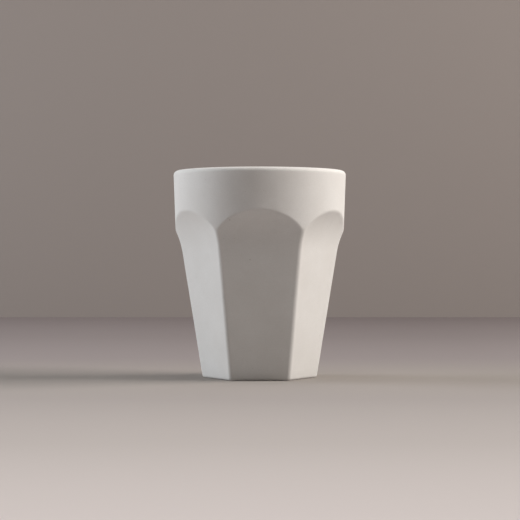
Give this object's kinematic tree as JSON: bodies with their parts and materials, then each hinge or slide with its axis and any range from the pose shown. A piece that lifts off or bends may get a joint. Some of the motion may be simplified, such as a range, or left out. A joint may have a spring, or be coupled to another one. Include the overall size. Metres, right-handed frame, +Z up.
{
  "type": "plaster mold",
  "caption": "Split plaster slip-casting mold shaped as a faceted tumbler under a round collar, with a keyed foot plug, a drop-in pour ring and cast-in registration natches.",
  "frame": {"origin": "centre of the foot, on the bench", "axes": "+Z up the mold's axis towards the pour mouth; -Y is the front, a flat side of the hexagon; +X is right, and the mold parts on the plane y = 0"},
  "size_m": [0.1494, 0.1494, 0.1794],
  "materials": {
    "plaster": "matte, dry off-white plaster",
    "natch_plastic": "satin moulded plastic"
  },
  "bodies": {
    "foot_plug": {"foot_plug": "plaster"},
    "front_half": {"front_half": "plaster", "natch_peg_left_low": "natch_plastic", "natch_peg_left_middle": "natch_plastic", "natch_peg_left_high": "natch_plastic", "natch_peg_right_low": "natch_plastic", "natch_peg_right_middle": "natch_plastic", "natch_peg_right_high": "natch_plastic"},
    "rear_half": {"rear_half": "plaster", "natch_cup_left_low": "natch_plastic", "natch_cup_left_middle": "natch_plastic", "natch_cup_left_high": "natch_plastic", "natch_cup_right_low": "natch_plastic", "natch_cup_right_middle": "natch_plastic", "natch_cup_right_high": "natch_plastic"},
    "pour_ring": {"pour_ring": "plaster"}
  },
  "joints": [
    {"name": "front_slide", "type": "slide", "parent": "foot_plug", "child": "front_half", "axis": [0, -1, 0], "range_m": [0, 0.1]},
    {"name": "rear_slide", "type": "slide", "parent": "foot_plug", "child": "rear_half", "axis": [0, 1, 0], "range_m": [0, 0.1]},
    {"name": "ring_lift", "type": "slide", "parent": "foot_plug", "child": "pour_ring", "axis": [0, 0, 1], "range_m": [0, 0.06]}
  ]
}
